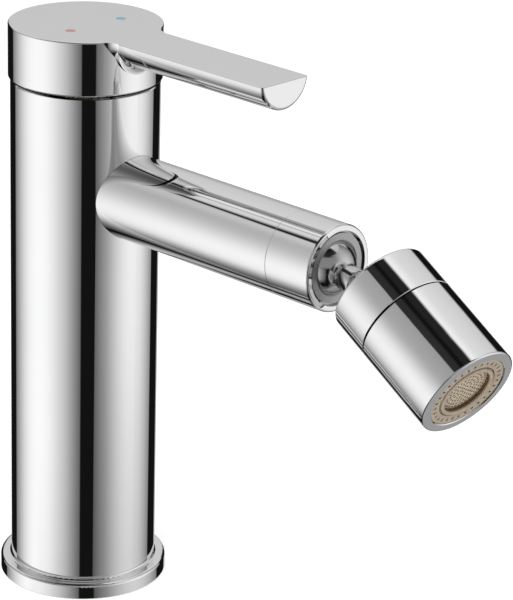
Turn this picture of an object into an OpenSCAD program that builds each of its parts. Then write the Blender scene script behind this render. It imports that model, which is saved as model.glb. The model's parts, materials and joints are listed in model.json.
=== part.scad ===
// Single-lever bidet mixer: a round column, a level spout and an aerator head on a double ball joint

/* [Column] */
// Outside diameter of the column
column_d = 42; // [40:0.5:46]
// Height of the column's top edge above the deck
column_h = 149.5; // [146:0.5:156]
// Wall of the column's tube
column_wall = 3; // [2.5:0.1:3.5]
// Height of the hose room, open below
hose_room_h = 75; // [60:1:85]
// Chamfer round the column's top edge
column_chamfer = 0.5; // [0.4:0.05:0.7]

/* [Base] */
// How far the base ring stands out past the column
base_flange = 3.1; // [2.5:0.1:5]
// Height of the base ring
base_h = 4.3; // [3.5:0.1:6]
// Round on the base ring's upper edge
base_round = 0.9; // [0.3:0.1:1.5]
// Hollow round at the column's foot
foot_cove = 0.6; // [0.3:0.1:1]
// Height of the edge below that round
foot_edge = 0.2; // [0.1:0.05:0.4]
// Wall of the column's spigot inside the base ring
spigot_wall = 1.6; // [1.2:0.1:2]
// How far above the deck that spigot ends
spigot_rise = 0.6; // [0.3:0.1:1.5]
// Width of the deck gasket
gasket_w = 2.4; // [1.8:0.1:2.6]
// Thickness of the deck gasket
gasket_t = 1.2; // [0.8:0.1:2]

/* [Inlets] */
// Forward place of the two inlets and their channels
inlet_x = 3; // [2.6:0.1:3.4]
// Sideways place of each inlet
inlet_y = 6.2; // [5.8:0.1:6.4]
// Tapped hole of an M10 x 1 inlet
inlet_tap_d = 9; // [8.6:0.1:9.4]
// Depth of an inlet's thread
inlet_depth = 12; // [8:1:16]
// Supply channel above an inlet
channel_d = 4.4; // [3.6:0.2:4.8]
// Place of the fixing stud, behind the middle
stud_x = -9; // [-11:0.5:-7]
// Tapped hole of the M8 fixing stud
stud_tap_d = 6.8; // [6.4:0.1:7.2]
// Depth of the stud's thread
stud_depth = 14; // [10:1:18]
// Forward place of the mixed-water outlet in the cartridge seat
outlet_x = -5; // [-5.6:0.1:-4.6]
// Diameter of the mixed-water outlet
outlet_d = 6; // [5:0.2:6.4]
// Diameter of the waterway from the outlet to the spout
waterway_d = 6; // [5:0.2:7]
// Floor left between the waterway and the cartridge seat
waterway_web = 1.45; // [1:0.05:2]

/* [Spout] */
// Outside diameter of the spout
spout_d = 24; // [22:0.5:26]
// Depth of the spout's axis below the column's top edge
spout_drop = 30.2; // [29:0.1:36]
// Reach of the spout's end from the column's axis
spout_reach = 96.1; // [85:0.1:130]
// Wall of the spout tube
spout_wall = 2.4; // [2:0.1:3]
// Length of the end sleeve that shows past the seam
sleeve_len = 14.4; // [12.6:0.1:20]
// Length of the sleeve's spigot inside the tube
sleeve_spigot = 9.7; // [7:0.1:12]
// Round rim of the spout's end, forward of the sleeve
rim_rise = 0.7; // [0.4:0.1:1]
// Width of the groove between that rim and the socket ring
ring_groove = 0.7; // [0.4:0.1:1]
// Depth of that groove
ring_groove_depth = 1.1; // [0.6:0.1:1.6]
// Chamfer round the socket ring's mouth
ring_chamfer = 0.6; // [0.3:0.05:0.8]
// Thickness of the sleeve's wall round the ball socket
socket_wall = 2.4; // [2:0.1:2.6]
// Chamfer on each side of the spout's seam
spout_seam = 0.08; // [0.05:0.01:0.2]
// Width of the waterway inside the end sleeve
sleeve_bore_d = 12; // [10:0.5:13]
// How far the socket ring's face stands past the sleeve's edge
ring_proud = 0.2; // [0:0.05:0.4]
// How far the socket ring reaches behind the ball's centre
ring_back = 2; // [1:0.1:2.4]
// Gap between the socket ring and the ball seat
seat_gap = 0.3; // [0.2:0.05:0.6]
// Hole through the ball seat for the water
seat_hole_d = 7.8; // [6.6:0.1:8.4]
// How far the ball reaches out of its seat's back
ball_poke = 0.55; // [0.2:0.05:0.9]
// Thickness of the O-rings
oring_d = 1.6; // [1.2:0.1:1.8]
// Angle of the ball seal behind the ball, from the spout's axis
ball_seal_angle = 50; // [44:1:56]

/* [Ball stem] */
// Room for the socket ring between the ball and the sleeve's wall
ball_rim = 1.6; // [1.3:0.05:2]
// How far the ball's centre lies inside the socket ring's face
ball_sink = 3.8; // [3.4:0.1:4.6]
// Distance between the centres of the two balls
stem_len = 24.5; // [23.5:0.1:27]
// How far the stem leans down
stem_lean = 10.9; // [6:0.1:14]
// Diameter of the neck between the balls
neck_d = 5.8; // [5:0.1:6.4]
// Diameter of the collar at the neck's root
collar_d = 7.4; // [6.6:0.1:8.4]
// Length of the collar past the ball
collar_len = 3; // [2:0.1:4]
// Diameter of the ball in the head
head_ball_d = 13; // [12.4:0.1:13.4]
// Water bore through the stem
stem_bore_d = 3.8; // [3:0.1:4.4]

/* [Head] */
// Outside diameter of the head
head_d = 28.2; // [27:0.1:32]
// How far the head points below level
head_down = 27.8; // [20:0.1:32]
// How far the head is turned to its side
head_aside = -5.8; // [-10:0.1:6]
// Distance from the ball's centre back to the head's rear face
head_back = 7; // [6.4:0.1:8]
// Distance from the ball's centre to the front of the joint housing
joint_front = 5.75; // [5.2:0.05:7]
// Groove between the joint housing and the aerator housing
head_groove = 0.35; // [0.2:0.05:0.6]
// Chamfer on each side of that groove
head_seam = 0.15; // [0.1:0.05:0.3]
// Distance from the ball's centre to the outlet rim
head_front = 31.9; // [29:0.1:36]
// Wall of the joint housing outside the thread that takes the aerator housing
joint_wall = 2.1; // [1.6:0.1:2.6]
// How far behind the ball's centre the thread ends
thread_back = 0.5; // [0.2:0.1:1]
// Thickness of the seat ring in front of the ball
joint_seat_t = 3.4; // [2.8:0.1:3.6]
// Thickness of the seal between the seat ring and the aerator housing
joint_seal_t = 0.8; // [0.6:0.1:1]
// Width of that seal
joint_seal_w = 3.3; // [2.6:0.1:3.6]
// Wall of the aerator housing's threaded tail
tail_wall = 3.5; // [2.8:0.1:3.8]
// Round on the outlet's edge and the neck's collar
head_round = 0.5; // [0.3:0.1:0.8]
// Round on the joint housing's rear edge
joint_round = 1; // [0.5:0.1:1.3]
// Thickness of the plastic liner round the head's ball
liner_t = 0.74; // [0.6:0.02:0.9]
// Half length of that liner along the stem
liner_half = 3.9; // [3:0.1:4.2]
// Lip depth that keeps the ball in the joint housing
lip_depth = 4.2; // [3.8:0.1:4.6]
// Mouth diameter of the opening that the neck leans in
mouth_d = 17.6; // [15:0.2:20]

/* [Aerator] */
// Width of the outlet rim round the aerator insert
rim_w = 2.7; // [2:0.1:3.2]
// Depth of the aerator chamber behind the outlet rim
insert_depth = 19.9; // [17:0.1:21]
// Thickness of the sealing washer behind the insert
washer_t = 1.6; // [1.2:0.1:2.4]
// Width of that washer
washer_w = 2.8; // [2.2:0.1:3.4]
// Thickness of the flow plate
flow_plate_t = 2.4; // [1.8:0.1:3]
// Number of jets in the flow plate
jet_count = 12; // [8:1:16]
// Diameter of the circle of jets
jet_ring_d = 11.6; // [9:0.1:12]
// Diameter of a jet
jet_d = 1.6; // [1.2:0.1:2]
// How far the insert's face lies behind the outlet rim
rim_sink = 0.3; // [0.1:0.05:0.6]
// Chamfer on the outlet rim's inner edge
rim_chamfer = 0.2; // [0.1:0.05:0.3]
// Outside diameter of the raised lip round the screen
screen_lip_d = 16.4; // [15.6:0.1:17.2]
// Width of that lip
screen_lip_w = 1.1; // [0.6:0.1:1.3]
// Height of that lip
screen_lip_h = 0.3; // [0.2:0.1:0.8]
// Round on that lip's edges
screen_lip_edge = 0.35; // [0.2:0.05:0.5]
// Width of the groove round that lip
lip_groove_w = 0.45; // [0.3:0.05:0.6]
// Depth of that groove
lip_groove_depth = 0.6; // [0.3:0.1:1]
// Number of air slots round the lip
air_slots = 30; // [24:1:36]
// Width of an air slot
air_slot_w = 0.65; // [0.5:0.05:1]
// Length of an air slot, outward
air_slot_len = 1; // [0.8:0.1:1.8]
// Depth of an air slot
air_slot_depth = 1; // [0.5:0.1:4]
// How far the screen lies behind the insert's face
screen_sink = 1.2; // [0.5:0.1:3]
// Thickness of the screen
screen_t = 2; // [1.2:0.1:3]
// Width of the shelf that carries the screen
screen_shelf = 0.7; // [0.5:0.05:0.9]
// Least wall between the screen's cells and its edge
cell_edge = 0.15; // [0.1:0.05:0.6]
// Distance between the rings of cells
cell_pitch = 1.08; // [0.96:0.02:1.32]
// Width of a cell's hole
cell_d = 0.6; // [0.5:0.05:0.8]

/* [Handle] */
// How far the cap stands out past the column
cap_overhang = 0.6; // [0.4:0.05:1]
// Gap between the cap and the column
cap_gap = 0.6; // [0.5:0.05:0.8]
// Height of the cap
cap_h = 15.3; // [14.5:0.1:18]
// Thickness of the cap's flat top
cap_roof = 3; // [2.5:0.1:3.4]
// Thickness of the cap's skirt
cap_wall = 1; // [0.8:0.05:1.1]
// Round on the cap's edges
cap_round = 0.4; // [0.2:0.05:0.6]
// Reach of the lever's end from the column's axis
lever_reach = 76; // [60:0.5:95]
// Width of the lever's flat top
lever_w = 17.7; // [14:0.1:20]
// Depth of the lever's round underside
lever_t = 7.9; // [6:0.1:8.4]
// Round on the edge of the lever's end
lever_round = 1; // [0.4:0.1:2]
// Round along the lever's upper edges
lever_edge = 0.4; // [0.2:0.05:0.6]
// Radius of the hollow blend beside the lever's root
flare_r = 4.4; // [3:0.1:6]
// How far that blend swells past the lever
flare_rise = 2.2; // [0.8:0.1:2.6]
// How far past the cap's side the blend runs out
flare_run = 0.8; // [0.4:0.1:1.6]
// Radius of the hollow blend under the lever's root
chin_r = 2.4; // [1:0.1:3]
// How far the axis of that blend lies below the lever's own
chin_drop = 3; // [2.8:0.1:4]
// Diameter of the hot and cold marks
mark_d = 2.7; // [2:0.1:4]
// Forward place of the marks
mark_x = 4; // [2:0.1:6]
// Sideways place of each mark
mark_y = 9.5; // [8:0.1:12]
// Thickness of a mark
mark_t = 0.8; // [0.5:0.1:1.2]

/* [Spindle] */
// Depth of the lift pivot below the cap's lower edge
pivot_drop = 11; // [10.5:0.1:12]
// Highest lift of the lever
lift_max = 22; // [15:1:24]
// Side of the spindle's square shank
shank_w = 8; // [7:0.1:8.4]
// Length of shank inside the handle's boss
shank_grip = 7; // [5:0.1:7.4]
// Diameter of the handle's boss round the shank
boss_d = 16; // [14.5:0.1:17]
// Diameter of the spindle's eye round its pin
eye_d = 9; // [8:0.1:9.6]
// Diameter of the pivot pin
pin_d = 3; // [2.5:0.1:3.6]
// Length of the spindle's lower arm, from pin to tip
arm_len = 9.2; // [8.6:0.1:9.8]
// Diameter of the lower arm
arm_d = 4; // [3.4:0.1:4.4]
// Diameter of the arm's ball tip
tip_d = 5; // [4.6:0.1:5.4]
// Height of the tip's centre above the disc carrier's pocket
tip_rise = 2.7; // [2.6:0.1:3]
// Diameter of the grub screw in the boss
grub_d = 5; // [4:0.5:6]
// Length of the grub screw
grub_len = 5; // [4:0.5:6]
// Diameter of the plug over the grub screw's access hole
plug_d = 6.4; // [5.8:0.1:7]
// Length of that plug
plug_len = 3; // [2:0.1:4]

/* [Cartridge] */
// Diameter of the cartridge chamber
chamber_d = 31.6; // [31:0.1:32]
// Wall left between the chamber and the spout's socket
socket_web = 1; // [0.8:0.05:1.4]
// Wall of the cartridge housing
housing_wall = 1.9; // [1.6:0.05:2.1]
// Thickness of the housing's top
housing_top = 2.5; // [2:0.1:3]
// Wall of the rotor over the pivot pin
pin_cover = 0.3; // [0.2:0.05:0.6]
// Thickness of the cartridge base
cart_base_t = 4; // [3.4:0.1:4.6]
// Thickness of the base's flange below the housing
cart_flange_t = 2; // [1.6:0.1:2.4]
// Thickness of the fixed ceramic disc
fixed_disc_t = 3.5; // [3:0.1:4]
// Thickness of the moving ceramic disc
moving_disc_t = 3; // [2.6:0.1:3.4]
// Diameter of the mixing recess under the moving disc
recess_d = 11.2; // [10.6:0.1:11.6]
// Depth of that recess
recess_depth = 1.6; // [1:0.1:1.8]
// How far the recess lies forward of the outlet when closed
recess_shift = 2; // [1.6:0.1:2.2]
// Rim of the disc carrier round the moving disc
carrier_rim = 1.2; // [0.9:0.1:1.3]
// Thickness of the disc carrier
carrier_t = 4; // [3.6:0.1:4.2]
// How deep the carrier grips the moving disc
carrier_grip = 1.5; // [1:0.1:1.8]
// Width of the carrier's two guide ribs
rib_w = 2; // [1.6:0.1:2.4]
// Sideways place of each guide rib
rib_y = 7.2; // [6.8:0.1:7.8]
// Height of the guide ribs above the carrier
rib_h = 2; // [1.4:0.1:2.4]
// Length of the guide ribs
rib_len = 10; // [7:0.5:11]
// Diameter of the rotor's neck
rotor_neck_d = 20.8; // [20.4:0.1:21.4]
// Height of the rotor's neck above the housing
rotor_neck_h = 3.5; // [2:0.1:4]
// Diameter of the nut's thread
nut_d = 36.4; // [35.6:0.1:36.8]
// Height of the nut's thread
nut_thread_h = 2.5; // [2:0.1:3]
// How far the corners of the nut's hexagon stay inside its thread
nut_step = 1.5; // [0.8:0.1:2.4]
// Height of the nut's hexagon
nut_hex_h = 2.4; // [1.6:0.1:2.8]
// Width of a port seal's ring
seal_w = 1.3; // [1:0.1:1.5]
// Thickness of the port seals
seal_t = 1.3; // [1:0.1:1.6]

/* [Clearances] */
// Radial play between pieces that are fixed together
fit_clear = 0.05; // [0.02:0.01:0.08]
// Radial play of a running fit
run_clear = 0.06; // [0.03:0.01:0.09]
// Play of guides that slide
slide_clear = 0.1; // [0.06:0.01:0.14]
// Water film between faces that slide on each other
film = 0.05; // [0.03:0.01:0.08]
// Open gap between pieces that only pass each other
pass_clear = 0.5; // [0.3:0.05:0.7]

/* [Hidden] */
$fn = 64;
// How far a cutting shape reaches past the face it cuts
cut = 1;
chrome = [0.80, 0.81, 0.83];
satin = [0.62, 0.63, 0.65];
brass = [0.78, 0.62, 0.32];
rubber = [0.12, 0.12, 0.13];
nylon = [0.92, 0.92, 0.90];
ceramic = [0.95, 0.95, 0.93];
steel = [0.66, 0.67, 0.69];
beige = [0.74, 0.67, 0.56];
red = [0.70, 0.16, 0.16];
blue = [0.16, 0.42, 0.62];

column_r = column_d / 2;
room_r = column_r - column_wall;
spigot_r = room_r + spigot_wall;
base_r = column_r + base_flange;
gasket_mid_r = (base_r + spigot_r) / 2;

cap_z = column_h + cap_gap;
cap_top = cap_z + cap_h;
cap_r = column_r + cap_overhang;
cap_in_r = cap_r - cap_wall;
lever_r = (pow(lever_w / 2, 2) + pow(lever_t, 2)) / (2 * lever_t);
lever_axis_z = cap_top - lever_t + lever_r;
flare_end = cap_r + flare_run;

pivot_z = cap_z - pivot_drop;
shank_top = cap_top - cap_roof - pass_clear;
boss_z = shank_top - shank_grip;
boss_r = boss_d / 2;
socket_half = shank_w / 2 + fit_clear;
grub_z = (boss_z + shank_top) / 2;
tip_z = pivot_z - arm_len;
tip_socket_r = tip_d / 2 + slide_clear;
slide_max = arm_len * sin(lift_max);

chamber_r = chamber_d / 2;
housing_r = chamber_r - fit_clear;
housing_in_r = housing_r - housing_wall;
rotor_z1 = pivot_z + pin_d / 2 + pin_cover;
ceiling_z = rotor_z1 + slide_clear;
housing_z1 = ceiling_z + housing_top;
core_z1 = housing_z1 - pass_clear;
carrier_floor = tip_z - tip_rise;
carrier_z1 = carrier_floor + carrier_t;
carrier_x = -slide_max / 2;
carrier_r = housing_in_r - slide_max / 2 - pass_clear;
moving_disc_r = carrier_r - carrier_rim;
moving_z0 = carrier_floor - moving_disc_t;
fixed_z1 = moving_z0 - film;
fixed_z0 = fixed_z1 - fixed_disc_t;
seat_z = fixed_z0 - cart_base_t;
housing_z0 = seat_z + cart_flange_t;
rotor_z0 = carrier_z1 + pass_clear;
rotor_r = housing_in_r - slide_clear;
rotor_neck_r = rotor_neck_d / 2;
rotor_top = housing_z1 + rotor_neck_h;
slot_half = shank_w / 2 + slide_clear;
slot_back = (rotor_top - pivot_z) * tan(lift_max) + shank_w / (2 * cos(lift_max)) + pass_clear;
slot_front = max(eye_d / 2, (pivot_z - rotor_z0) * tan(lift_max) + arm_d / (2 * cos(lift_max))) + pass_clear;
pin_half = rotor_r - pass_clear;
nut_r = nut_d / 2;
nut_in_r = rotor_neck_r + 2 * pass_clear;
nut_hex_r = nut_r - nut_step;
recess_x = outlet_x + recess_shift;

spout_r = spout_d / 2;
spout_in_r = spout_r - spout_wall;
spout_z = column_h - spout_drop;
spout_seat_x = chamber_r + socket_web;
waterway_z = seat_z - waterway_web - waterway_d / 2;
seam_x = spout_reach - sleeve_len;
rim_x = spout_reach + rim_rise;
socket_r = spout_r - socket_wall;
ring_face_x = spout_reach + ring_proud;
ball_x = ring_face_x - ball_sink;
ball_r = socket_r - ball_rim;
ball_c = [ball_x, 0, spout_z];
bowl_r = ball_r + run_clear;
socket_floor_x = ball_x - bowl_r + ball_poke;
ring_mouth_r = sqrt(pow(bowl_r, 2) - pow(ball_sink, 2));
ring_back_x = ball_x - ring_back;
seat_front_x = ring_back_x - seat_gap;
oring_r = oring_d / 2;
ball_seal_reach = bowl_r + oring_r;
spout_seal_x = seam_x - sleeve_spigot / 2;

neck_r = neck_d / 2;
head_ball_r = head_ball_d / 2;
head_c = ball_c + stem_len * [cos(stem_lean), 0, -sin(stem_lean)];
liner_in_r = head_ball_r + run_clear;
liner_r = liner_in_r + liner_t;
cavity_r = liner_r + run_clear;
head_r = head_d / 2;
head_thread_r = head_r - joint_wall;
joint_seat_start = fit_clear - thread_back;
joint_seat_end = joint_seat_start + joint_seat_t;
tail_start = joint_seat_end + joint_seal_t;
tail_in_r = head_thread_r - tail_wall;
housing_start = joint_front + head_groove;
lip_r = sqrt(pow(cavity_r, 2) - pow(lip_depth, 2));
insert_r = head_r - rim_w;
chamber_start = head_front - insert_depth;
insert_face = head_front - rim_sink;
body_start = chamber_start + washer_t + flow_plate_t;
screen_lip_r = screen_lip_d / 2;
screen_r = screen_lip_r - screen_lip_w;
screen_z1 = insert_face - screen_sink;
screen_z0 = screen_z1 - screen_t;
lip_groove_r = screen_lip_r + lip_groove_w;
air_ring_r = (lip_groove_r + insert_r) / 2;
cell_r = cell_d / (2 * cos(30));
cell_rings = floor((screen_r - fit_clear - cell_edge - cell_r) / cell_pitch);

// Places its children with their +Z along the spout, from x at height z
module along_x(x, z) {
    translate([x, 0, z]) rotate([0, 90, 0]) children();
}

// Places its children on the ball stem's axis, from the centre of the spout's ball
module on_stem() {
    translate(ball_c) rotate([0, 90 + stem_lean, 0]) children();
}

// Places its children on the stem's axis, from the centre of the head's ball
module on_stem_end() {
    translate(head_c) rotate([0, 90 + stem_lean, 0]) children();
}

// Places its children on the head's axis, from the centre of the head's ball
module on_head() {
    translate(head_c) rotate([0, 90 + head_down, head_aside]) children();
}

// Flat washer or sleeve standing on z = 0
module sleeve(outer, inner, height) {
    difference() {
        cylinder(r = outer, h = height);
        translate([0, 0, -cut]) cylinder(r = inner, h = height + 2 * cut);
    }
}

// Half profile of a plain cylinder
module bar_profile(radius, low, high) {
    translate([0, low]) square([radius, high - low]);
}

// What a round takes off the outer corner of a half profile; side is 1 above and -1 below
module corner_round(radius, high, round, side) {
    translate([radius - round, high - side * round])
        difference() {
            translate([0, side > 0 ? 0 : -round - cut]) square([round + cut, round + cut]);
            circle(round);
        }
}

// What a chamfer takes off the outer corner of a half profile; side is 1 above and -1 below
module corner_chamfer(radius, high, size, side) {
    polygon([
        [radius - size, high + side * cut], [radius - size, high],
        [radius, high - side * size], [radius + cut, high - side * size], [radius + cut, high + side * cut]
    ]);
}

// Ring of round section round the Z axis
module oring(middle, section) {
    rotate_extrude() translate([middle, 0]) circle(section);
}

// Column and base

module body() {
    color(chrome)
        difference() {
            rotate_extrude() column_profile();
            translate([0, 0, housing_z1]) cylinder(r = nut_r + fit_clear, h = column_h);
            along_x(0, spout_z) cylinder(r = spout_r + fit_clear, h = column_d);
        }
}

module column_profile() {
    difference() {
        union() {
            bar_profile(column_r, base_h, column_h);
            bar_profile(spigot_r, spigot_rise, base_h + cut);
            foot_profile();
        }
        corner_chamfer(column_r, column_h, column_chamfer, 1);
        bar_profile(room_r, 0, column_h + cut);
    }
}

// Foot of the column, which swells out over the base ring in a hollow round
module foot_profile() {
    foot_r = column_r + foot_cove;
    foot_z = base_h + foot_edge + foot_cove;
    difference() {
        bar_profile(foot_r, base_h, foot_z);
        translate([foot_r, foot_z]) circle(foot_cove);
    }
}

// Machined core fixed in the column: inlets, stud hole, cartridge seat and the way to the spout
module valve_core() {
    color(brass)
        difference() {
            translate([0, 0, hose_room_h]) cylinder(r = room_r - fit_clear, h = core_z1 - hose_room_h);
            translate([0, 0, seat_z]) cylinder(r = chamber_r, h = column_h);
            along_x(spout_seat_x, spout_z) cylinder(r = spout_r + fit_clear, h = column_r);
            along_x(outlet_x, waterway_z) cylinder(d = waterway_d, h = column_r - outlet_x);
            translate([outlet_x, 0, waterway_z]) cylinder(d = outlet_d, h = seat_z - waterway_z + cut);
            for (side = [-1, 1])
                translate([inlet_x, side * inlet_y, hose_room_h - cut]) {
                    cylinder(d = inlet_tap_d, h = inlet_depth + cut);
                    cylinder(d = channel_d, h = seat_z - hose_room_h + 2 * cut);
                }
            translate([stud_x, 0, hose_room_h - cut]) cylinder(d = stud_tap_d, h = stud_depth + cut);
        }
}

module base_ring() {
    color(chrome)
        rotate_extrude()
            difference() {
                bar_profile(base_r, 0, base_h);
                translate([0, -cut]) square([spigot_r + fit_clear, base_h + 2 * cut]);
                corner_round(base_r, base_h, base_round, 1);
                gasket_profile(fit_clear);
            }
}

module base_gasket() {
    color(rubber) rotate_extrude() gasket_profile(0);
}

module gasket_profile(play) {
    width = gasket_w + 2 * play;
    translate([gasket_mid_r - width / 2, play > 0 ? -cut : 0])
        square([width, gasket_t + play + (play > 0 ? cut : 0)]);
}

// Spout

module spout_tube() {
    start = spout_seat_x + fit_clear;
    color(chrome)
        along_x(start, spout_z)
            rotate_extrude()
                difference() {
                    bar_profile(spout_r, 0, seam_x - start);
                    translate([0, -cut]) square([spout_in_r, seam_x]);
                    corner_chamfer(spout_r, seam_x - start, spout_seam, 1);
                }
}

module spout_end() {
    color(chrome)
        along_x(0, spout_z)
            rotate_extrude()
                difference() {
                    union() {
                        bar_profile(spout_r, seam_x, rim_x);
                        bar_profile(spout_in_r - fit_clear, seam_x - sleeve_spigot, seam_x + cut);
                    }
                    corner_chamfer(spout_r, seam_x, spout_seam, -1);
                    corner_round(spout_r, rim_x, rim_rise, 1);
                    bar_profile(socket_r + ring_groove, rim_x - ring_groove_depth, rim_x + cut);
                    bar_profile(sleeve_bore_d / 2, 0, rim_x);
                    bar_profile(socket_r, socket_floor_x, rim_x + cut);
                    translate([spout_in_r - fit_clear, spout_seal_x]) circle(oring_d + fit_clear);
                }
}

module spout_seal() {
    color(rubber) along_x(spout_seal_x, spout_z) oring(spout_in_r - fit_clear - oring_r, oring_r);
}

module socket_ring() {
    ring_cut = ring_chamfer + cut;
    color(satin)
        along_x(0, spout_z)
            difference() {
                translate([0, 0, ring_back_x])
                    cylinder(r = socket_r - fit_clear, h = ring_face_x - ring_back_x);
                translate([0, 0, ball_x]) sphere(bowl_r);
                translate([0, 0, ring_face_x - ring_chamfer])
                    cylinder(h = ring_cut, r1 = ring_mouth_r, r2 = ring_mouth_r + ring_cut);
            }
}

module ball_seat() {
    start = socket_floor_x + film;
    color(nylon)
        along_x(0, spout_z)
            difference() {
                translate([0, 0, start]) cylinder(r = socket_r - slide_clear, h = seat_front_x - start);
                translate([0, 0, ball_x]) sphere(bowl_r);
                translate([0, 0, ball_x - ball_r]) cylinder(d = seat_hole_d, h = ball_r, center = true);
                ball_seal_ring(oring_r + fit_clear);
            }
}

module ball_seal() {
    color(rubber) along_x(0, spout_z) ball_seal_ring(oring_r - fit_clear);
}

module ball_seal_ring(section) {
    translate([0, 0, ball_x - ball_seal_reach * cos(ball_seal_angle)])
        oring(ball_seal_reach * sin(ball_seal_angle), section);
}

// Stem with its two balls, bored through for the water
module ball_stem() {
    color(chrome)
        on_stem()
            rotate_extrude()
                difference() {
                    union() {
                        circle(ball_r);
                        translate([0, stem_len]) circle(head_ball_r);
                        bar_profile(neck_r, 0, stem_len);
                        difference() {
                            bar_profile(collar_d / 2, 0, ball_r + collar_len);
                            corner_round(collar_d / 2, ball_r + collar_len, head_round, 1);
                        }
                    }
                    translate([-2 * ball_r, -2 * ball_r])
                        square([2 * ball_r + stem_bore_d / 2, stem_len + 4 * ball_r]);
                }
}

// Head

module head_liner() {
    color(nylon)
        on_stem_end()
            rotate_extrude()
                intersection() {
                    difference() {
                        circle(liner_r);
                        circle(liner_in_r);
                    }
                    bar_profile(liner_r + cut, -liner_half, liner_half);
                }
}

module joint_housing() {
    color(chrome)
        on_head()
            rotate_extrude()
                difference() {
                    bar_profile(head_r, -head_back, joint_front);
                    corner_round(head_r, -head_back, joint_round, -1);
                    corner_chamfer(head_r, joint_front, head_seam, 1);
                    circle(cavity_r);
                    bar_profile(head_thread_r, -thread_back, joint_front + cut);
                    polygon([
                        [0, 0], [lip_r, -lip_depth], [mouth_d / 2, -head_back],
                        [mouth_d / 2, -head_back - cut], [0, -head_back - cut]
                    ]);
                    translate([-2 * head_r, -head_r]) square([2 * head_r, 2 * head_r]);
                }
}

module joint_seat() {
    color(nylon)
        on_head()
            difference() {
                translate([0, 0, joint_seat_start])
                    cylinder(r = head_thread_r - fit_clear, h = joint_seat_t);
                sphere(cavity_r);
            }
}

module joint_seal() {
    color(rubber)
        on_head()
            translate([0, 0, joint_seat_end])
                sleeve(head_thread_r - fit_clear, head_thread_r - joint_seal_w, joint_seal_t);
}

module aerator_housing() {
    rim_edge = head_front - rim_chamfer;
    color(chrome)
        on_head()
            rotate_extrude()
                difference() {
                    union() {
                        bar_profile(head_thread_r - fit_clear, tail_start, housing_start + cut);
                        bar_profile(head_r, housing_start, head_front);
                    }
                    corner_chamfer(head_r, housing_start, head_seam, -1);
                    corner_round(head_r, head_front, head_round, 1);
                    bar_profile(tail_in_r, tail_start - cut, head_front);
                    bar_profile(insert_r + fit_clear, chamber_start, head_front + cut);
                    polygon([
                        [insert_r, rim_edge], [insert_r + fit_clear, rim_edge],
                        [insert_r + fit_clear + rim_chamfer, head_front], [insert_r, head_front + cut]
                    ]);
                }
}

module aerator_washer() {
    color(rubber)
        on_head()
            translate([0, 0, chamber_start])
                sleeve(insert_r - fit_clear, insert_r - fit_clear - washer_w, washer_t);
}

module flow_plate() {
    color(nylon)
        on_head()
            translate([0, 0, chamber_start + washer_t])
                difference() {
                    cylinder(r = insert_r - fit_clear, h = flow_plate_t);
                    for (i = [0 : jet_count - 1])
                        rotate([0, 0, i * 360 / jet_count])
                            translate([jet_ring_d / 2, 0, -cut])
                                cylinder(d = jet_d, h = flow_plate_t + 2 * cut);
                }
}

module aerator_body() {
    air_cut = air_slot_depth + cut;
    lip_z = insert_face + screen_lip_h;
    color(beige)
        on_head()
            difference() {
                rotate_extrude()
                    difference() {
                        union() {
                            difference() {
                                bar_profile(insert_r - fit_clear, body_start, insert_face);
                                bar_profile(lip_groove_r, insert_face - lip_groove_depth, insert_face + cut);
                            }
                            bar_profile(screen_lip_r, body_start, lip_z);
                        }
                        corner_round(screen_lip_r, lip_z, screen_lip_edge, 1);
                        translate([2 * screen_r, 0])
                            mirror([1, 0]) corner_round(screen_r, lip_z, screen_lip_edge, 1);
                        bar_profile(screen_r, screen_z0, lip_z + cut);
                        bar_profile(screen_r - screen_shelf, body_start - cut, insert_face);
                    }
                for (i = [0 : air_slots - 1])
                    rotate([0, 0, i * 360 / air_slots])
                        translate([air_ring_r, 0, insert_face + cut - air_cut / 2])
                            cube([air_slot_len, air_slot_w, air_cut], center = true);
            }
}

// Screen of six-sided cells in rings; ring n holds six times n cells
module aerator_screen() {
    color(beige)
        on_head()
            translate([0, 0, screen_z0])
                difference() {
                    cylinder(r = screen_r - fit_clear, h = screen_t);
                    for (ring = [0 : cell_rings])
                        for (i = [0 : max(6 * ring, 1) - 1])
                            rotate([0, 0, i * 360 / max(6 * ring, 1)])
                                translate([ring * cell_pitch, 0, -cut])
                                    cylinder(r = cell_r, h = screen_t + 2 * cut, $fn = 6);
                }
}

// Cartridge

module cartridge_nut() {
    color(brass)
        translate([0, 0, housing_z1])
            difference() {
                union() {
                    cylinder(r = nut_r, h = nut_thread_h);
                    cylinder(r = nut_hex_r, h = nut_thread_h + nut_hex_h, $fn = 6);
                }
                translate([0, 0, -cut]) cylinder(r = nut_in_r, h = column_h);
            }
}

module cartridge_housing() {
    color(nylon)
        rotate_extrude()
            difference() {
                bar_profile(housing_r, housing_z0, housing_z1);
                bar_profile(housing_in_r, housing_z0 - cut, ceiling_z);
                bar_profile(rotor_neck_r + run_clear, ceiling_z - cut, housing_z1 + cut);
            }
}

// Calls its children at each port of the seat, with the port's diameter in $port_d
module at_ports() {
    for (side = [-1, 1])
        translate([inlet_x, side * inlet_y, 0]) {
            $port_d = channel_d;
            children();
        }
    translate([outlet_x, 0, 0]) {
        $port_d = outlet_d;
        children();
    }
}

module cartridge_base() {
    color(nylon)
        difference() {
            union() {
                translate([0, 0, seat_z]) cylinder(r = housing_r, h = cart_flange_t);
                translate([0, 0, seat_z]) cylinder(r = housing_in_r - fit_clear, h = cart_base_t);
            }
            at_ports() {
                translate([0, 0, seat_z - cut]) cylinder(d = $port_d, h = cart_base_t + 2 * cut);
                translate([0, 0, seat_z - cut])
                    cylinder(r = $port_d / 2 + seal_w + fit_clear, h = seal_t + fit_clear + cut);
            }
        }
}

module port_seals() {
    color(rubber)
        at_ports()
            translate([0, 0, seat_z]) sleeve($port_d / 2 + seal_w, $port_d / 2, seal_t);
}

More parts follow.
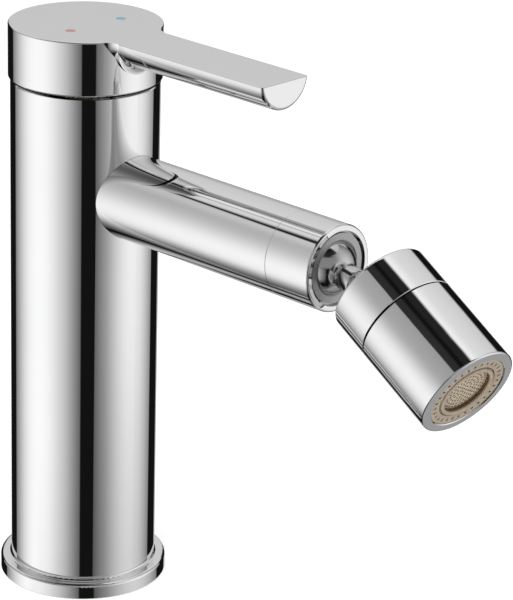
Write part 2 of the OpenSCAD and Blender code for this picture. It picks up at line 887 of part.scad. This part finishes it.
module fixed_disc() {
    color(ceramic)
        difference() {
            translate([0, 0, fixed_z0]) cylinder(r = housing_in_r - fit_clear, h = fixed_disc_t);
            at_ports() translate([0, 0, fixed_z0 - cut]) cylinder(d = $port_d, h = fixed_disc_t + 2 * cut);
        }
}

module moving_disc() {
    color(ceramic)
        difference() {
            translate([carrier_x, 0, moving_z0]) cylinder(r = moving_disc_r, h = moving_disc_t);
            translate([recess_x, 0, moving_z0 - cut]) cylinder(d = recess_d, h = recess_depth + cut);
        }
}

module disc_carrier() {
    color(nylon)
        difference() {
            union() {
                translate([carrier_x, 0, carrier_floor - carrier_grip])
                    cylinder(r = carrier_r, h = carrier_t + carrier_grip);
                for (side = [-1, 1])
                    translate([carrier_x - rib_len / 2, side * rib_y - rib_w / 2, carrier_z1 - cut])
                        cube([rib_len, rib_w, rib_h + cut]);
            }
            translate([carrier_x, 0, carrier_floor - carrier_grip - cut])
                cylinder(r = moving_disc_r + fit_clear, h = carrier_grip + cut);
            translate([0, 0, carrier_floor - cut]) cylinder(r = tip_socket_r, h = carrier_t + 2 * cut);
        }
}

module rotor() {
    color(nylon)
        difference() {
            union() {
                translate([0, 0, rotor_z0]) cylinder(r = rotor_r, h = rotor_z1 - rotor_z0);
                translate([0, 0, rotor_z0]) cylinder(r = rotor_neck_r, h = rotor_top - rotor_z0);
            }
            translate([-slot_back, -slot_half, rotor_z0 - cut])
                cube([slot_back + slot_front, 2 * slot_half, rotor_top - rotor_z0 + 2 * cut]);
            for (side = [-1, 1])
                translate([-rotor_r, side * rib_y - rib_w / 2 - slide_clear, rotor_z0 - cut])
                    cube([2 * rotor_r, rib_w + 2 * slide_clear, cut + rib_h]);
            translate([0, 0, pivot_z]) rotate([90, 0, 0])
                cylinder(r = pin_d / 2 + fit_clear, h = 3 * rotor_r, center = true);
        }
}

module spindle_pin() {
    color(steel)
        translate([0, 0, pivot_z]) rotate([90, 0, 0]) cylinder(d = pin_d, h = 2 * pin_half, center = true);
}

// Handle

module spindle() {
    color(brass)
        difference() {
            union() {
                translate([-shank_w / 2, -shank_w / 2, pivot_z])
                    cube([shank_w, shank_w, shank_top - pivot_z]);
                translate([0, 0, pivot_z]) rotate([90, 0, 0]) cylinder(d = eye_d, h = shank_w, center = true);
                translate([0, 0, tip_z]) cylinder(d = arm_d, h = arm_len);
                translate([0, 0, tip_z]) sphere(d = tip_d);
            }
            translate([0, 0, pivot_z]) rotate([90, 0, 0])
                cylinder(r = pin_d / 2 + run_clear, h = 2 * shank_w, center = true);
        }
}

// Cap and lever in one casting: a turned cap, a bar of D section and the hollow blend between them
module handle() {
    color(chrome)
        difference() {
            intersection() {
                union() {
                    cap_blank();
                    lever_bar();
                    root_flare();
                }
                translate([0, 0, cap_z]) cylinder(r = 2 * lever_reach, h = cap_h);
            }
            difference() {
                translate([0, 0, cap_z - cut]) cylinder(r = cap_in_r, h = cap_h - cap_roof + cut);
                translate([0, 0, boss_z]) cylinder(r = boss_r, h = cap_h);
            }
            translate([-socket_half, -socket_half, cap_z])
                cube([2 * socket_half, 2 * socket_half, shank_top + fit_clear - cap_z]);
            along_x(-boss_r - cut, grub_z) cylinder(d = grub_d, h = boss_r + cut);
            along_x(-cap_r - cut, grub_z) cylinder(r = plug_d / 2 + fit_clear, h = plug_len);
            for (side = [-1, 1])
                translate([mark_x, side * mark_y, cap_top - mark_t])
                    cylinder(r = mark_d / 2 + fit_clear, h = mark_t + cut);
        }
}

module cap_blank() {
    rotate_extrude()
        difference() {
            bar_profile(cap_r, cap_z, cap_top);
            corner_round(cap_r, cap_top, cap_round, 1);
            corner_round(cap_r, cap_z, cap_round, -1);
        }
}

// Bar of D section, turned about its own axis, with a flat top and rounded edges
module lever_bar() {
    intersection() {
        along_x(0, lever_axis_z)
            rotate_extrude()
                difference() {
                    bar_profile(lever_r, 0, lever_reach);
                    corner_round(lever_r, lever_reach, lever_round, 1);
                }
        rotate([90, 0, 90]) linear_extrude(lever_reach) lever_front();
        translate([0, lever_w, 0]) rotate([90, 0, 0]) linear_extrude(2 * lever_w) lever_side();
    }
}

// Outline of the lever's upper edges from the front
module lever_front() {
    difference() {
        translate([-lever_w, cap_z]) square([2 * lever_w, cap_h]);
        for (side = [0, 1])
            mirror([side, 0]) corner_round(lever_w / 2, cap_top, lever_edge, 1);
    }
}

// Outline of the lever's upper edge from the side
module lever_side() {
    difference() {
        translate([0, cap_z]) square([lever_reach, cap_h]);
        corner_round(lever_reach, cap_top, lever_edge, 1);
    }
}

// Hollow blends from the cap to the lever's sides and underside
module root_flare() {
    along_x(0, lever_axis_z)
        rotate_extrude() flare_profile(lever_r, flare_end, flare_r, flare_rise);
    along_x(0, lever_axis_z - chin_drop)
        rotate_extrude() flare_profile(lever_r - chin_drop, cap_r + chin_r, chin_r, chin_r);
}

module flare_profile(radius, reach, hollow, rise) {
    difference() {
        bar_profile(radius + rise, 0, reach);
        translate([radius + hollow, reach]) circle(hollow);
    }
}

module grub_screw() {
    color(steel)
        along_x(-shank_w / 2 - fit_clear - grub_len, grub_z)
            difference() {
                cylinder(r = grub_d / 2 - fit_clear, h = grub_len);
                translate([0, 0, -cut]) cylinder(d = grub_d / 2, h = grub_len / 2 + cut, $fn = 6);
            }
}

module grub_plug() {
    color(chrome)
        intersection() {
            along_x(-cap_r - cut, grub_z) cylinder(d = plug_d, h = plug_len + cut);
            translate([0, 0, cap_z]) cylinder(r = cap_r, h = cap_h);
        }
}

module hot_mark() {
    color(red) colour_mark(-1);
}

module cold_mark() {
    color(blue) colour_mark(1);
}

module colour_mark(side) {
    translate([mark_x, side * mark_y, cap_top - mark_t + fit_clear])
        cylinder(d = mark_d, h = mark_t - fit_clear);
}

body();
valve_core();
base_ring();
base_gasket();
spout_tube();
spout_end();
spout_seal();
socket_ring();
cartridge_nut();
cartridge_housing();
cartridge_base();
port_seals();
fixed_disc();
rotor();
spindle_pin();
disc_carrier();
moving_disc();
handle();
spindle();
grub_screw();
grub_plug();
hot_mark();
cold_mark();
ball_seat();
ball_seal();
ball_stem();
head_liner();
joint_housing();
joint_seat();
joint_seal();
aerator_housing();
aerator_washer();
flow_plate();
aerator_body();
aerator_screen();
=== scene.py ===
import json
import math
import bpy
from mathutils import Matrix, Vector

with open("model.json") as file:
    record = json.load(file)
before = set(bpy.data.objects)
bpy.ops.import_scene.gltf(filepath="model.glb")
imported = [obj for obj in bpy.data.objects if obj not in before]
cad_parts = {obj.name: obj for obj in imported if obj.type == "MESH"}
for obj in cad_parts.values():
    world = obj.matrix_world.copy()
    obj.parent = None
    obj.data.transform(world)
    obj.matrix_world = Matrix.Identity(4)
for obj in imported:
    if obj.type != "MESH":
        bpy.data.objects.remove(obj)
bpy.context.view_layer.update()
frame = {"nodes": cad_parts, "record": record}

# Camera: the photograph's station, from angles in degrees and lengths in metres, its image in pixels, and
# the height of the sensor in millimetres
CAMERA_AZIMUTH = math.radians(43.393)
CAMERA_ELEVATION = math.radians(20.923)
CAMERA_ROLL = math.radians(1.583)
CAMERA_DISTANCE = 0.80097
CAMERA_TARGET = Vector((0.067727, 0.0, 0.102293))
CAMERA_CLIP = (0.01, 50)
FOCAL_PIXELS = 2976.44
IMAGE_HEIGHT = 600
SENSOR = 36.0

# Studio: a diffusion panel on each side, one over and behind the object, and dark gaps between them.
# Angles are in degrees, and bearings count from the camera's own, positive to its right.
# A ramp gives where it starts and ends, and then its values there; without them it runs from 0 to 1.
# An edge that is a pair gives its angle and its softness, and any other edge has the softness EDGE.
QUARTER_TURN = 90
EDGE = 1.2
PANEL_SPREAD = 60

# Left panel: its span, brightest line, top edge that slants with the bearing, and uneven glow
LEFT_PANEL = (-131, -2)
LEFT_CENTRE = -69
LEFT_WIDTH = 86
LEFT_MIDDLE = -25
LEFT_DIM = 0.48
LEFT_GLOW = 1.12
LEFT_TOP = 53.7
LEFT_TOP_BEARING = -54
LEFT_TOP_FALL = 0.16
LEFT_FOOT = (-60, -33)
LEFT_LEAN_BEARING = -88
LEFT_LEAN = (-5, 25, 0, -0.008)
LEFT_CORNER = (30, 46, 0, 0.2)
LEFT_CORNER_SIDE = (-105, -85, 1, 0)
LEFT_FAR_SIDE = (-106, -66, 0.11, 0)
LEFT_NEAR_SIDE = (-40, -22, 1, 1.08)
LEFT_LOW = (-27.5, -23.5, 1, 0)
LEFT_LOW_SIDE = (-85, -68, 0, -0.12)

# Right panel, and the floor that it lights
RIGHT_PANEL = (19, 131)
RIGHT_CENTRE = 82
RIGHT_WIDTH = 78
RIGHT_MIDDLE = -10
RIGHT_DIM = 0.6
RIGHT_GLOW = 0.96
RIGHT_TOP = 52
RIGHT_NEAR_SIDE = (16, 40, 1.4, 1)
RIGHT_LOW = (-27.5, -20, 0.79, 1.07)
RIGHT_FLOOR = 0.36
RIGHT_FLOOR_TOP = (-42, 6)
RIGHT_FLOOR_SIDES = ((60, 10), (150, 10))

# Overhead panel: the direction across its front edge, the fade there as a cosine, its glow by elevation, the
# gap over the left panel, and a flag before its foot
OVERHEAD_FRONT = (155, -0.5)
OVERHEAD_FADE = (-0.045, 0.07)
OVERHEAD_LOW = (0, 20, 0.42, 0.655)
OVERHEAD_HIGH = (20, 65, 0, 0.14, "LINEAR")
OVERHEAD_CROWN = (65, 86, 0, 0.2)
OVERHEAD_GAP = 2.2
OVERHEAD_GAP_EDGE = 0.8
FLAG_TOP = (22, 4)
FLAG_SIDE = (165, 2)

# Backdrop behind the object, glow from the camera's side, and light from the floor. DARK is what the dark
# gaps still give low down, above the panels and at the crown; DARK_RISE and DARK_FALL lead from one to the
# next, and DARK_SEAM is the middle and the spread of a darker seam.
BACKDROP = 0.45
BACKDROP_SIDE = (166, 2)
BACKDROP_TOP = (-6, 4)
BACKDROP_FOOT = (-43, -26)
FRONT = 0.34
FRONT_SIDES = ((-40, 12), (60, 12))
FRONT_HEIGHTS = ((5, 4), (46, 5))
FLOOR_LIGHT = (-82, -66, 0.16, 0)
DARK = (0.007, 0.029, 0.018)
DARK_RISE = (40, 56)
DARK_FALL = (68, 76)
DARK_SEAM = (71.5, 8)
DARK_SEAM_DEPTH = 0.75

# Floor and lamp, in metres and watts
FLOOR_HALF = 1.0
FLOOR_DROP = 0.0002
FLOOR_COLOUR = (0.9, 0.9, 0.9, 1)
FLOOR_ROUGHNESS = 0.9
FLOOR_GLOW = 0.4
WHITE = (1, 1, 1, 1)
LAMP_SIZE = 1.6
LAMP_POWER = 22
LAMP_PLACE = (0.35, -0.5, 1.7)
LAMP_TARGET = (0.06, 0, 0.08)

# Axes of the column, the spout and the head, in metres
COLUMN_CENTRE = (0, 0, 0)
COLUMN_AXIS = (0, 0, 1)
SPOUT_CENTRE = (0, 0, 0.1193)
SPOUT_AXIS = (1, 0, 0)
HEAD_CENTRE = (0.116558, 0, 0.114667)
HEAD_AXIS = (0.88014, -0.08940, -0.46639)

# Painted shade in gaps and hollows that light hardly reaches, darkened into the colour: centre, axis, reach
# along it, radii round it, soft edge, and the share of red, green and blue that is left there
# Painted shade in the groove at the spout's end, on the satin ring and on the chrome wall beside it
RING_GROOVE_SHADE = (SPOUT_CENTRE, SPOUT_AXIS, (0.0950, 0.0962), (0.0094, 0.0104), 4e-5, (0.5, 0.5, 0.5))
RING_WALL_SHADE = (SPOUT_CENTRE, SPOUT_AXIS, (0.0950, 0.0964), (0.0094, 0.0104), 2e-4, (0.42, 0.42, 0.42))
# Painted shade in the gap under the handle's cap, on the chrome there and on the top of the brass nut
CAP_GAP_SHADE = (COLUMN_CENTRE, COLUMN_AXIS, (0.14945, 0.15015), (-0.001, 0.0213), 4e-5, (0.3, 0.3, 0.3))
NUT_TOP_SHADE = (COLUMN_CENTRE, COLUMN_AXIS, (0.1488, 0.1503), (-0.001, 0.03), 2e-4, (0.05, 0.06, 0.1))
# Painted shade in the aerator's grooves, in the hollow under its lip and in the screen's cells
INSERT_GROOVES_SHADE = (HEAD_CENTRE, HEAD_AXIS, (-0.01, 0.0310), (0.0079, 0.0116), 4e-4, (0.34, 0.23, 0.13))
INSERT_HOLLOW_SHADE = (HEAD_CENTRE, HEAD_AXIS, (-0.01, 0.0314), (-0.001, 0.0075), 3e-4, (0.3, 0.19, 0.1))
SCREEN_CELLS_SHADE = (HEAD_CENTRE, HEAD_AXIS, (-0.01, 0.0302), (-0.001, 0.009), 1.5e-4, (0.25, 0.17, 0.1))

# What all finishes share: the fineness of their noise, the range of it that shows in colour and in
# roughness, the patches' share in the roughness, the grain's share beside a lathe's lines, and the waver of
# those lines. WAVE_RATE is the wave texture's own, in radians per unit of length.
PATCH_DETAIL = 3
GRAIN_DETAIL = 2
PATCH_RANGE = (0.3, 0.7)
WEAR_RANGE = (0.3, 0.8)
PATCH_SHARE = 0.6
TURNED_GRAIN = 0.5
LINE_WAVER = 0.6
WAVE_RATE = 20

# Finishes by material slot, and those of single nodes; sizes are in metres
CHROME = (0.86, 0.86, 0.865)
FINISHES = {
    "chrome": dict(
        colour=CHROME, metallic=1, roughness=(0.015, 0.05), mottle=0.03, grain=0.012, relief=3e-6,
        tint=0.01, dim=(RING_WALL_SHADE, CAP_GAP_SHADE)),
    "head_chrome": dict(
        colour=CHROME, metallic=1, roughness=(0.015, 0.05), mottle=0.03, grain=0.012, relief=5e-5,
        tint=0.01),
    # Chrome of the ball stem: rougher, and darker as painted shade for the ball's seat in the ring's recess
    "stem_chrome_painted_shade": dict(
        colour=(0.62, 0.62, 0.625), metallic=1, roughness=(0.1, 0.17), mottle=0.004, grain=0.0008,
        relief=2e-6, tint=0.03),
    "satin_ring": dict(
        colour=(0.47, 0.47, 0.48), metallic=1, roughness=(0.26, 0.40), mottle=0.004, grain=0.0008,
        relief=4e-6, turned=("X", SPOUT_CENTRE, 0.00025), dim=(RING_GROOVE_SHADE,)),
    "brass": dict(
        colour=(0.80, 0.63, 0.34), metallic=1, roughness=(0.22, 0.38), mottle=0.008, grain=0.0006,
        relief=6e-6, turned=("Z", COLUMN_CENTRE, 0.0005), dim=(NUT_TOP_SHADE,)),
    "steel": dict(
        colour=(0.60, 0.60, 0.62), metallic=1, roughness=(0.22, 0.36), mottle=0.003, grain=0.0004,
        relief=4e-6),
    "rubber": dict(
        colour=(0.028, 0.028, 0.03), metallic=0, roughness=(0.55, 0.75), mottle=0.004, grain=0.0003,
        relief=1e-5, tint=0.2),
    "white_plastic": dict(
        colour=(0.84, 0.84, 0.81), metallic=0, roughness=(0.34, 0.5), mottle=0.006, grain=0.0004,
        relief=5e-6),
    "ceramic": dict(
        colour=(0.88, 0.88, 0.85), metallic=0, roughness=(0.10, 0.2), mottle=0.002, grain=0.0002,
        relief=2e-6, coat=0.2),
    "aerator_plastic": dict(
        colour=(0.54, 0.45, 0.345), metallic=0, roughness=(0.38, 0.55), mottle=0.0025, grain=0.0003,
        relief=6e-6, tint=0.07, dim=(INSERT_GROOVES_SHADE, INSERT_HOLLOW_SHADE)),
    "aerator_screen": dict(
        colour=(0.66, 0.55, 0.41), metallic=0, roughness=(0.38, 0.55), mottle=0.0015, grain=0.0003,
        relief=6e-6, tint=0.09, dim=(SCREEN_CELLS_SHADE,)),
    "hot_colour": dict(
        colour=(0.46, 0.16, 0.165), metallic=0, roughness=(0.2, 0.32), mottle=0.001, grain=0.0002,
        relief=4e-6, coat=0.4),
    "cold_colour": dict(
        colour=(0.13, 0.33, 0.43), metallic=0, roughness=(0.2, 0.32), mottle=0.001, grain=0.0002,
        relief=4e-6, coat=0.4),
}

# Nodes whose finish differs from that of their material slot
OWN_FINISH = {
    "ball_stem": "stem_chrome_painted_shade",
    "joint_housing": "head_chrome",
    "aerator_housing": "head_chrome",
    "aerator_screen": "aerator_screen",
}


class Value:
    """A number in a node tree; arithmetic on it adds the nodes that work it out."""

    def __init__(self, tree, source):
        self.tree = tree
        self.source = source

    def math(self, operation, *others):
        node = self.tree.nodes.new("ShaderNodeMath")
        node.operation = operation
        for socket, value in zip(node.inputs, (self, *others)):
            if isinstance(value, Value):
                self.tree.links.new(value.source, socket)
            else:
                socket.default_value = value
        return Value(self.tree, node.outputs[0])

    def __add__(self, other):
        return self.math("ADD", other)

    def __sub__(self, other):
        return self.math("SUBTRACT", other)

    def __mul__(self, other):
        return self.math("MULTIPLY", other)

    def most(self, other):
        return self.math("MAXIMUM", other)

    def size(self):
        return self.math("ABSOLUTE")

    def ramp(self, low, high, start=0.0, end=1.0, kind="SMOOTHSTEP"):
        """Runs from start to end while this number goes from low to high."""
        node = self.tree.nodes.new("ShaderNodeMapRange")
        node.interpolation_type = kind
        self.tree.links.new(self.source, node.inputs["Value"])
        for name, value in (("From Min", low), ("From Max", high), ("To Min", start), ("To Max", end)):
            node.inputs[name].default_value = value
        return Value(self.tree, node.outputs["Result"])

    def over(self, limit, edge=EDGE):
        """Is 1 above the limit and 0 below it, with a short soft edge."""
        return self.ramp(limit - edge, limit + edge)

    def under(self, limit, edge=EDGE):
        """Is 1 below the limit and 0 above it, with a short soft edge."""
        return self.ramp(limit - edge, limit + edge, 1, 0)

    def between(self, low, high):
        """Is 1 between two limits, each given with its edge."""
        return self.over(*low) * self.under(*high)

    def hump(self, centre, spread):
        """A squared cosine, 1 at its centre and 0 at its spread."""
        angle = ((self - centre).size() * (QUARTER_TURN / spread)).math("MINIMUM", QUARTER_TURN)
        wave = angle.math("RADIANS").math("COSINE")
        return wave * wave


def vector_math(tree, operation, first, second=None):
    """Adds a vector operation on a socket and, where it takes two, a fixed vector."""
    node = tree.nodes.new("ShaderNodeVectorMath")
    node.operation = operation
    tree.links.new(first, node.inputs[0])
    if second is not None:
        node.inputs[1].default_value = second
    return node


def direction(bearing, elevation):
    """The unit vector at a bearing from the camera's and an elevation, both in degrees."""
    turn = CAMERA_AZIMUTH + math.radians(bearing)
    rise = math.radians(elevation)
    return Vector((math.sin(turn) * math.cos(rise), -math.cos(turn) * math.cos(rise), math.sin(rise)))


def build_camera():
    """Places the camera at the photograph's station."""
    back = direction(0, math.degrees(CAMERA_ELEVATION))
    right = (-back).cross(Vector((0, 0, 1))).normalized()
    up = right.cross(-back)
    rolled_right = math.cos(CAMERA_ROLL) * right + math.sin(CAMERA_ROLL) * up
    rolled_up = math.cos(CAMERA_ROLL) * up - math.sin(CAMERA_ROLL) * right
    data = bpy.data.cameras.new("photo_camera")
    data.sensor_fit = "VERTICAL"
    data.sensor_height = SENSOR
    data.lens = FOCAL_PIXELS / IMAGE_HEIGHT * SENSOR
    data.clip_start, data.clip_end = CAMERA_CLIP
    camera = bpy.data.objects.new("photo_camera", data)
    turn = Matrix((rolled_right, rolled_up, back)).transposed().to_4x4()
    camera.matrix_world = Matrix.Translation(CAMERA_TARGET + back * CAMERA_DISTANCE) @ turn
    bpy.context.scene.collection.objects.link(camera)
    bpy.context.scene.camera = camera


def panel(bearing, elevation, span, centre, width, middle, dim, glow):
    """A panel brightest at its centre and middle. High up and low down it keeps a share dim of its glow."""
    low, high = span
    rise = elevation.hump(middle, PANEL_SPREAD) * (1 - dim) + dim
    return bearing.hump(centre, width) * rise * glow * bearing.over(low) * bearing.under(high)


def left_panel(bearing, elevation, slant_height):
    """The panel on the left; slant_height is the elevation less the slant of its top edge."""
    light = panel(
        bearing, elevation, LEFT_PANEL, LEFT_CENTRE, LEFT_WIDTH, LEFT_MIDDLE, LEFT_DIM, LEFT_GLOW)
    light = light * ((bearing - LEFT_LEAN_BEARING) * elevation.ramp(*LEFT_LEAN) + 1)
    corner = elevation.ramp(*LEFT_CORNER) * bearing.ramp(*LEFT_CORNER_SIDE) * bearing.over(LEFT_PANEL[0])
    light = (light + corner) * slant_height.under(LEFT_TOP) * elevation.ramp(*LEFT_FOOT)
    light = light * (bearing.ramp(*LEFT_FAR_SIDE) + 1) * bearing.ramp(*LEFT_NEAR_SIDE)
    return light * (elevation.ramp(*LEFT_LOW) * bearing.ramp(*LEFT_LOW_SIDE) + 1)


def right_panel(bearing, elevation):
    """The panel on the right, and the floor that it lights."""
    light = panel(
        bearing, elevation, RIGHT_PANEL, RIGHT_CENTRE, RIGHT_WIDTH, RIGHT_MIDDLE, RIGHT_DIM, RIGHT_GLOW)
    light = light * elevation.under(RIGHT_TOP)
    light = light * bearing.ramp(*RIGHT_NEAR_SIDE) * elevation.ramp(*RIGHT_LOW)
    floor = elevation.under(*RIGHT_FLOOR_TOP) * bearing.between(*RIGHT_FLOOR_SIDES) * RIGHT_FLOOR
    return light.most(floor)


def overhead_panel(bearing, elevation, slant_height, past_front):
    """The panel over and behind the object; past_front is how far a direction points past its front edge."""
    aside = bearing.size()
    light = elevation.ramp(*OVERHEAD_LOW) + elevation.ramp(*OVERHEAD_HIGH) + elevation.ramp(*OVERHEAD_CROWN)
    light = light * past_front.ramp(*OVERHEAD_FADE)
    light = light * elevation.over(*FLAG_TOP).most(aside.over(*FLAG_SIDE))
    above_left = bearing.under(0) * slant_height.over(LEFT_TOP + OVERHEAD_GAP, OVERHEAD_GAP_EDGE)
    above_right = elevation.over(RIGHT_TOP) * bearing.over(0)
    return light * aside.over(RIGHT_PANEL[1]).most(above_right).most(above_left)


def dark_gaps(elevation):
    """The little light that comes from between the panels."""
    low, above, crown = DARK
    light = elevation.ramp(*DARK_RISE, low, above) * elevation.ramp(*DARK_FALL, 1, crown / above)
    return light * (elevation.hump(*DARK_SEAM) * -DARK_SEAM_DEPTH + 1)


def build_world():
    """Lights the object with the studio's panels, and shows plain white behind it."""
    world = bpy.data.worlds.new("studio")
    bpy.context.scene.world = world
    world.use_nodes = True
    tree = world.node_tree
    place = tree.nodes.new("ShaderNodeTexCoord").outputs["Generated"]

    def along(axis):
        """How far a direction in the sky points along an axis."""
        return Value(tree, vector_math(tree, "DOT_PRODUCT", place, axis).outputs["Value"])

    bearing = along(direction(90, 0)).math("ARCTAN2", along(direction(0, 0))) * math.degrees(1)
    elevation = along(Vector((0, 0, 1))).math("ARCSINE") * math.degrees(1)
    slant_height = elevation - (bearing - LEFT_TOP_BEARING) * LEFT_TOP_FALL
    past_front = along(direction(*OVERHEAD_FRONT))

    backdrop = bearing.size().over(*BACKDROP_SIDE) * elevation.under(*BACKDROP_TOP)
    sources = (
        right_panel(bearing, elevation),
        overhead_panel(bearing, elevation, slant_height, past_front),
        backdrop * elevation.ramp(*BACKDROP_FOOT) * BACKDROP,
        bearing.between(*FRONT_SIDES) * elevation.between(*FRONT_HEIGHTS) * FRONT,
        elevation.ramp(*FLOOR_LIGHT),
        dark_gaps(elevation),
    )
    light = left_panel(bearing, elevation, slant_height)
    for source in sources:
        light = light.most(source)
    seen = Value(tree, tree.nodes.new("ShaderNodeLightPath").outputs["Is Camera Ray"])
    tree.links.new((light * (seen * -1 + 1) + seen).source, tree.nodes["Background"].inputs["Color"])


def build_floor():
    """A wide pale floor that takes the object's shadow."""
    corners = [(x * FLOOR_HALF, y * FLOOR_HALF, 0) for x, y in ((-1, -1), (1, -1), (1, 1), (-1, 1))]
    mesh = bpy.data.meshes.new("floor")
    mesh.from_pydata(corners, [], [(0, 1, 2, 3)])
    floor = bpy.data.objects.new("floor", mesh)
    bpy.context.scene.collection.objects.link(floor)
    floor.location.z = -FLOOR_DROP
    floor.visible_glossy = False
    paint = bpy.data.materials.new("floor_white")
    paint.use_nodes = True
    tree = paint.node_tree
    bsdf = tree.nodes["Principled BSDF"]
    bsdf.inputs["Base Color"].default_value = FLOOR_COLOUR
    bsdf.inputs["Roughness"].default_value = FLOOR_ROUGHNESS
    bsdf.inputs["Specular IOR Level"].default_value = 0
    bsdf.inputs["Emission Color"].default_value = WHITE
    seen = Value(tree, tree.nodes.new("ShaderNodeLightPath").outputs["Is Camera Ray"])
    tree.links.new((seen * FLOOR_GLOW).source, bsdf.inputs["Emission Strength"])
    mesh.materials.append(paint)


def build_lamp():
    """A large soft lamp overhead that only matt surfaces show."""
    data = bpy.data.lights.new("overhead", "AREA")
    data.shape = "DISK"
    data.size = LAMP_SIZE
    data.energy = LAMP_POWER
    lamp = bpy.data.objects.new("overhead", data)
    lamp.location = LAMP_PLACE
    lamp.rotation_euler = (Vector(LAMP_TARGET) - lamp.location).to_track_quat("-Z", "Y").to_euler()
    lamp.visible_glossy = False
    lamp.visible_camera = False
    bpy.context.scene.collection.objects.link(lamp)


def noise(tree, place, size, detail):
    """Soft random patches of a given size in metres."""
    node = tree.nodes.new("ShaderNodeTexNoise")
    node.inputs["Scale"].default_value = 1 / size
    node.inputs["Detail"].default_value = detail
    tree.links.new(place, node.inputs["Vector"])
    return Value(tree, node.outputs["Fac"])


def patched_colour(tree, patches, colour, tint):
    """A colour that drifts by a share tint either way over the patches."""
    blend = tree.nodes.new("ShaderNodeMix")
    blend.data_type = "RGBA"
    blend.inputs["A"].default_value = (*(c * (1 - tint) for c in colour), 1)
    blend.inputs["B"].default_value = (*(min(c * (1 + tint), 1) for c in colour), 1)
    tree.links.new(patches.ramp(*PATCH_RANGE).source, blend.inputs["Factor"])
    return blend.outputs["Result"]


def with_painted_shade(tree, place, colour, zone):
    """A colour with painted shade: darker inside one of the gaps and hollows."""
    centre, axis, along, radii, edge, kept = zone
    offset = vector_math(tree, "SUBTRACT", place, centre).outputs["Vector"]
    height = Value(tree, vector_math(tree, "DOT_PRODUCT", offset, axis).outputs["Value"])
    across = vector_math(tree, "CROSS_PRODUCT", offset, axis).outputs["Vector"]
    radius = Value(tree, vector_math(tree, "LENGTH", across).outputs["Value"])
    inside = height.over(along[0], edge) * height.under(along[1], edge)
    inside = inside * radius.over(radii[0], edge) * radius.under(radii[1], edge)
    shade = tree.nodes.new("ShaderNodeMix")
    shade.data_type = "RGBA"
    shade.blend_type = "MULTIPLY"
    shade.inputs["B"].default_value = (*kept, 1)
    tree.links.new(inside.source, shade.inputs["Factor"])
    tree.links.new(colour, shade.inputs["A"])
    return shade.outputs["Result"]


def lathe_lines(tree, place, axis, centre, pitch):
    """Fine rings round an axis, a pitch apart."""
    lines = tree.nodes.new("ShaderNodeTexWave")
    lines.wave_type = "RINGS"
    lines.rings_direction = axis
    lines.inputs["Scale"].default_value = 2 * math.pi / (WAVE_RATE * pitch)
    lines.inputs["Distortion"].default_value = LINE_WAVER
    tree.links.new(vector_math(tree, "SUBTRACT", place, centre).outputs["Vector"], lines.inputs["Vector"])
    return Value(tree, lines.outputs["Fac"])


def finish(
        name, colour, metallic, roughness, mottle, grain, relief, tint=0.04, turned=None, coat=0.0, dim=()):
    """Makes a material. Its colour drifts by tint over patches, its roughness runs between two values,
    and its surface has a grain of a given relief in metres; turned adds the lines of a lathe.
    mottle and grain are the sizes of the patches and of the grain in metres, and dim lists the
    gaps and hollows in which it is darker, as painted shade."""
    paint = bpy.data.materials.new(name)
    paint.use_nodes = True
    tree = paint.node_tree
    bsdf = tree.nodes["Principled BSDF"]
    bsdf.inputs["Metallic"].default_value = metallic
    bsdf.inputs["Coat Weight"].default_value = coat
    place = tree.nodes.new("ShaderNodeTexCoord").outputs["Object"]

    patches = noise(tree, place, mottle, PATCH_DETAIL)
    shaded = patched_colour(tree, patches, colour, tint)
    # Painted shade: the colour is darker in each gap and hollow that dim lists
    for zone in dim:
        shaded = with_painted_shade(tree, place, shaded, zone)
    tree.links.new(shaded, bsdf.inputs["Base Color"])

    height = noise(tree, place, grain, GRAIN_DETAIL)
    if turned:
        height = height * TURNED_GRAIN + lathe_lines(tree, place, *turned)
    wear = patches * PATCH_SHARE + height * (1 - PATCH_SHARE)
    tree.links.new(wear.ramp(*WEAR_RANGE, *roughness).source, bsdf.inputs["Roughness"])
    bump = tree.nodes.new("ShaderNodeBump")
    bump.inputs["Distance"].default_value = relief
    tree.links.new(height.source, bump.inputs["Height"])
    tree.links.new(bump.outputs["Normal"], bsdf.inputs["Normal"])
    return paint


def build_finishes():
    """Gives every node of the frame its own finish or that of its material slot."""
    finishes = {name: finish(name, **look) for name, look in FINISHES.items()}
    for part in frame["record"]["subparts"]:
        mesh = frame["nodes"][part["node"]].data
        mesh.materials.clear()
        mesh.materials.append(finishes[OWN_FINISH.get(part["node"], part["material_slot"])])


bpy.context.scene.view_settings.view_transform = "Standard"
build_camera()
build_world()
build_floor()
build_lamp()
build_finishes()
